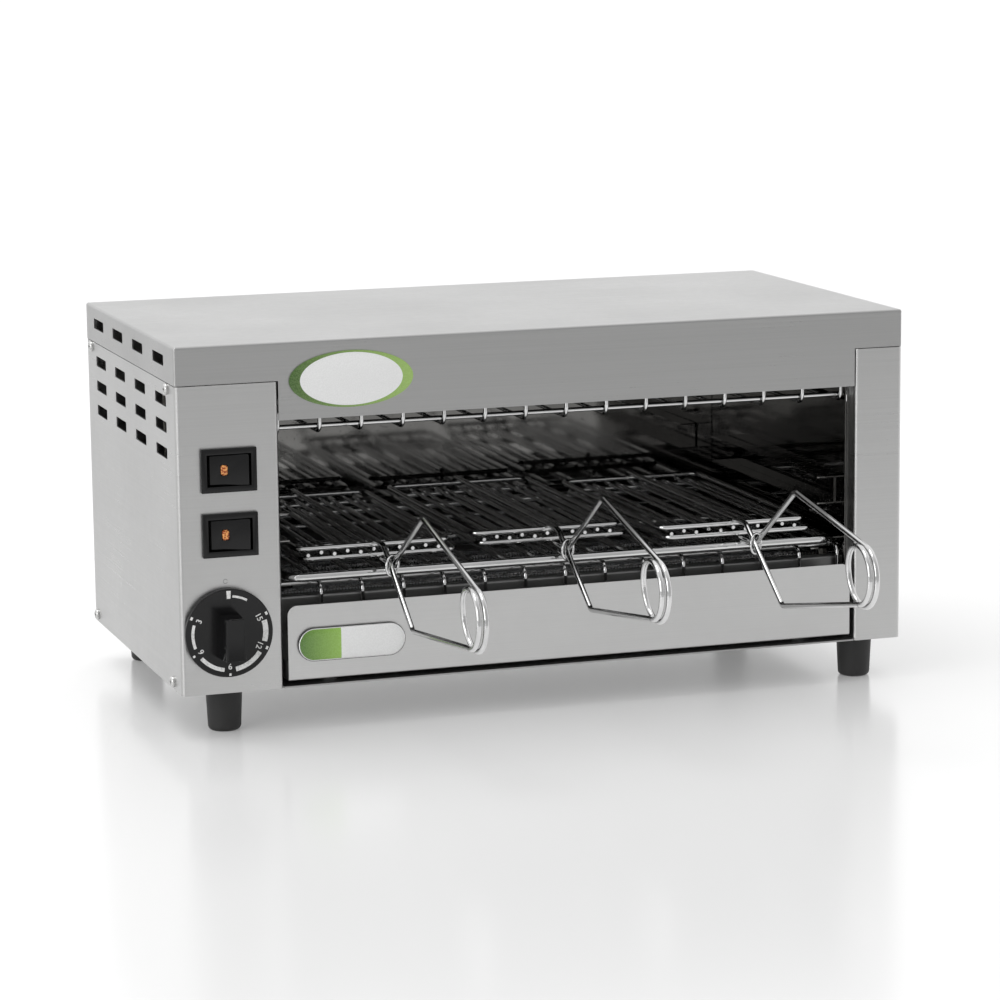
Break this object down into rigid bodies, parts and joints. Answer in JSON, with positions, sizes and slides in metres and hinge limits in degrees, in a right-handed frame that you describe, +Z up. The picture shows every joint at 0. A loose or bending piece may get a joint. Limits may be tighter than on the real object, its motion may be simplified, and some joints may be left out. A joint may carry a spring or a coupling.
{
  "type": "quartz toaster oven",
  "caption": "Low open-fronted steel toaster oven with quartz heating tubes, a sliding wire rack that carries sprung toast tongs, a crumb tray, a timer knob and rocker switches.",
  "frame": {"origin": "middle of the whole oven's footprint, tong handles included, at the level of the feet", "axes": "+X to the right seen from the front, +Y to the back, +Z up"},
  "size_m": [0.4842, 0.4636, 0.2425],
  "materials": {
    "casing_steel": "satin brushed stainless steel sheet",
    "chamber_steel": "aluminised sheet, darkened by heat",
    "screw_steel": "bright zinc-plated steel",
    "foot_rubber": "black rubber",
    "quartz": "milky quartz glass",
    "ceramic": "white steatite ceramic",
    "heating_wire": "dull resistance wire",
    "chrome_wire": "bright chrome-plated wire",
    "black_plastic": "glossy black plastic",
    "timer_case": "plain pressed metal case",
    "orange_lens": "clear orange lens",
    "gland_plastic": "black nylon",
    "terminal_plastic": "white plastic",
    "lead_insulation": "woven glass sleeving",
    "badge_metal": "plain pale plate with a bright rim",
    "badge_plastic": "plain pale plate"
  },
  "bodies": {
    "oven": {"base_plate": "casing_steel", "left_side_panel": "casing_steel", "right_side_panel": "casing_steel", "top_cover": "casing_steel", "rear_panel": "casing_steel", "casing_screws": "screw_steel", "foot_front_left": "foot_rubber", "foot_front_right": "foot_rubber", "foot_rear_left": "foot_rubber", "foot_rear_right": "foot_rubber", "foot_screws": "screw_steel", "chamber_left_wall": "chamber_steel", "chamber_right_wall": "chamber_steel", "chamber_back_wall": "chamber_steel", "chamber_roof": "chamber_steel", "front_sill": "casing_steel", "rack_rails": "chamber_steel", "spare_rails": "chamber_steel", "lower_quartz_tube_front": "quartz", "lower_quartz_tube_middle": "quartz", "lower_quartz_tube_rear": "quartz", "upper_quartz_tube_front": "quartz", "upper_quartz_tube_middle": "quartz", "upper_quartz_tube_rear": "quartz", "ceramic_caps": "ceramic", "heating_filaments": "heating_wire", "upper_guard": "chrome_wire", "lower_guard": "chrome_wire", "timer_body": "timer_case", "lower_switch_housing": "black_plastic", "upper_switch_housing": "black_plastic", "cable_gland": "gland_plastic", "terminal_block": "terminal_plastic", "internal_leads": "lead_insulation", "oval_badge": "badge_metal"},
    "knob": {"timer_knob": "black_plastic", "timer_shaft": "screw_steel"},
    "rocker_lower": {"lower_rocker": "black_plastic", "lower_neon_lens": "orange_lens"},
    "rocker_upper": {"upper_rocker": "black_plastic", "upper_neon_lens": "orange_lens"},
    "tray": {"crumb_tray": "casing_steel", "pill_badge": "badge_plastic"},
    "rack": {"wire_rack": "chrome_wire"},
    "tong_left": {"left_tong_lower_jaw": "chrome_wire", "left_tong_coil_arm": "chrome_wire"},
    "jaw_left": {"left_tong_upper_jaw": "chrome_wire", "left_tong_lower_arm": "chrome_wire"},
    "ring_left": {"left_tong_ring": "chrome_wire"},
    "tong_middle": {"middle_tong_lower_jaw": "chrome_wire", "middle_tong_coil_arm": "chrome_wire"},
    "jaw_middle": {"middle_tong_upper_jaw": "chrome_wire", "middle_tong_lower_arm": "chrome_wire"},
    "ring_middle": {"middle_tong_ring": "chrome_wire"},
    "tong_right": {"right_tong_lower_jaw": "chrome_wire", "right_tong_coil_arm": "chrome_wire"},
    "jaw_right": {"right_tong_upper_jaw": "chrome_wire", "right_tong_lower_arm": "chrome_wire"},
    "ring_right": {"right_tong_ring": "chrome_wire"}
  },
  "joints": [
    {"name": "knob_turn", "type": "hinge", "parent": "oven", "child": "knob", "pos_m": [-0.2107, -0.03095, 0.066], "axis": [0, 1, 0], "range_deg": [-40, 295]},
    {"name": "lower_rocker_press", "type": "hinge", "parent": "oven", "child": "rocker_lower", "pos_m": [-0.2078, -0.02695, 0.1263], "axis": [0, 0, 1], "range_deg": [0, 14]},
    {"name": "upper_rocker_press", "type": "hinge", "parent": "oven", "child": "rocker_upper", "pos_m": [-0.2078, -0.02695, 0.1663], "axis": [0, 0, 1], "range_deg": [0, 14]},
    {"name": "tray_slide", "type": "slide", "parent": "oven", "child": "tray", "axis": [0, -1, 0], "range_m": [0, 0.022]},
    {"name": "rack_slide", "type": "slide", "parent": "oven", "child": "rack", "axis": [0, -1, 0], "range_m": [0, 0.2]},
    {"name": "left_tong_slide", "type": "slide", "parent": "rack", "child": "tong_left", "axis": [0, -1, 0], "range_m": [-0.0095, 0.18]},
    {"name": "left_jaw_open", "type": "hinge", "parent": "tong_left", "child": "jaw_left", "pos_m": [-0.1064, -0.19565, 0.0977], "axis": [1, 0, 0], "range_deg": [0, 6], "stiffness_Nm_per_rad": 1.5},
    {"name": "left_ring_slide", "type": "slide", "parent": "jaw_left", "child": "ring_left", "axis": [0, -0.8133, -0.5819], "range_m": [0, 0.0138]},
    {"name": "middle_tong_slide", "type": "slide", "parent": "rack", "child": "tong_middle", "axis": [0, -1, 0], "range_m": [0, 0.18]},
    {"name": "middle_jaw_open", "type": "hinge", "parent": "tong_middle", "child": "jaw_middle", "pos_m": [0.01239, -0.17785, 0.1026], "axis": [1, 0, 0], "range_deg": [0, 6], "stiffness_Nm_per_rad": 1.5},
    {"name": "middle_ring_slide", "type": "slide", "parent": "jaw_middle", "child": "ring_middle", "axis": [0, -0.8315, -0.5555], "range_m": [0, 0.0138]},
    {"name": "right_tong_slide", "type": "slide", "parent": "rack", "child": "tong_right", "axis": [0, -1, 0], "range_m": [-0.0245, 0.18]},
    {"name": "right_jaw_open", "type": "hinge", "parent": "tong_right", "child": "jaw_right", "pos_m": [0.13001, -0.21195, 0.1092], "axis": [1, 0, 0], "range_deg": [0, 6], "stiffness_Nm_per_rad": 1.5},
    {"name": "right_ring_slide", "type": "slide", "parent": "jaw_right", "child": "ring_right", "axis": [0, -0.8196, -0.5729], "range_m": [0, 0.0138]}
  ],
  "couplings": [
    {"joint": "left_ring_slide", "follows": "left_jaw_open", "m_per_rad": 0.13},
    {"joint": "middle_ring_slide", "follows": "middle_jaw_open", "m_per_rad": 0.13},
    {"joint": "right_ring_slide", "follows": "right_jaw_open", "m_per_rad": 0.13}
  ]
}
